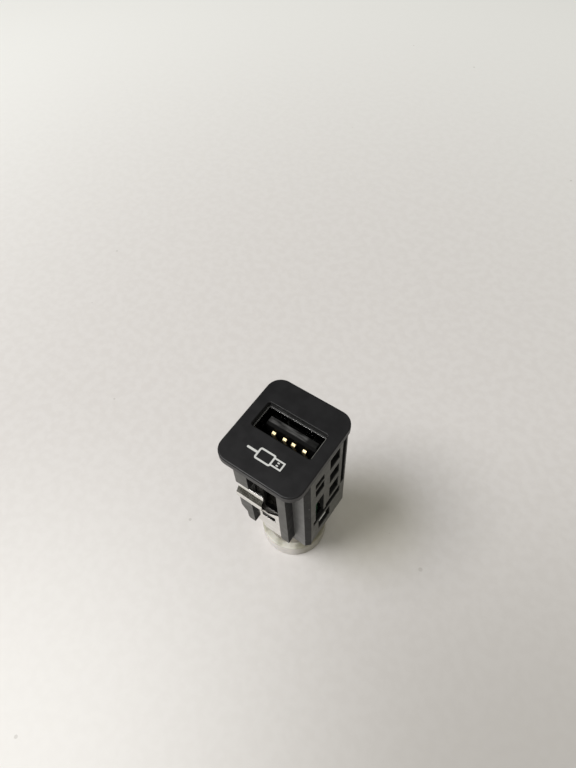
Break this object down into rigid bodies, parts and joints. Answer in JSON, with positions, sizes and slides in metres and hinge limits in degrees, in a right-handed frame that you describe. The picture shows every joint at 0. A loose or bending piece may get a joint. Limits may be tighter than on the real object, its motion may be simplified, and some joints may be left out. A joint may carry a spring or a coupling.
{
  "type": "usb connector",
  "caption": "Panel-mounted USB socket module: square face plate with an offset port, long windowed sleeve, sprung steel retaining clip and a round rear connector.",
  "frame": {"origin": "under the middle of the face plate, on the plane of the rear connector's rim", "axes": "+Z out of the face plate, along the way a plug is pulled out; +X along the port's long side; +Y from the printed mark towards the port"},
  "size_m": [0.0182, 0.0204, 0.046],
  "materials": {
    "black_plastic": "fine moulded texture",
    "tongue_plastic": "smooth moulding",
    "cream_plastic": "smooth moulding",
    "insulator_plastic": "smooth moulding",
    "spring_steel": "bright rolled strip",
    "shell_steel": "tin-plated sheet",
    "gold_plate": "gold-plated strip",
    "board_laminate": "solder mask",
    "ferrite": "sintered block",
    "chip_body": "moulded chip body",
    "fuse_body": "coated chip",
    "chip_ceramic": "fired chip"
  },
  "bodies": {
    "module": {"housing": "black_plastic", "receptacle_shell": "shell_steel", "contact_tongue": "tongue_plastic", "contact_1": "gold_plate", "contact_2": "gold_plate", "contact_3": "gold_plate", "contact_4": "gold_plate", "circuit_board": "board_laminate", "common_mode_choke": "ferrite", "surge_protector": "chip_body", "resettable_fuse": "fuse_body", "filter_capacitor_1": "chip_ceramic", "filter_capacitor_2": "chip_ceramic", "ferrite_bead": "ferrite", "rear_housing": "cream_plastic", "rear_shield": "shell_steel", "rear_insulator": "insulator_plastic", "rear_pin_1": "gold_plate", "rear_pin_2": "gold_plate", "rear_pin_3": "gold_plate", "rear_pin_4": "gold_plate"},
    "clip": {"retaining_clip": "spring_steel"}
  },
  "joints": [
    {"name": "clip_flex", "type": "hinge", "parent": "module", "child": "clip", "pos_m": [0, -0.00625, 0.0105], "axis": [-1, 0, 0], "range_deg": [0, 3.1], "stiffness_Nm_per_rad": 0.6}
  ]
}
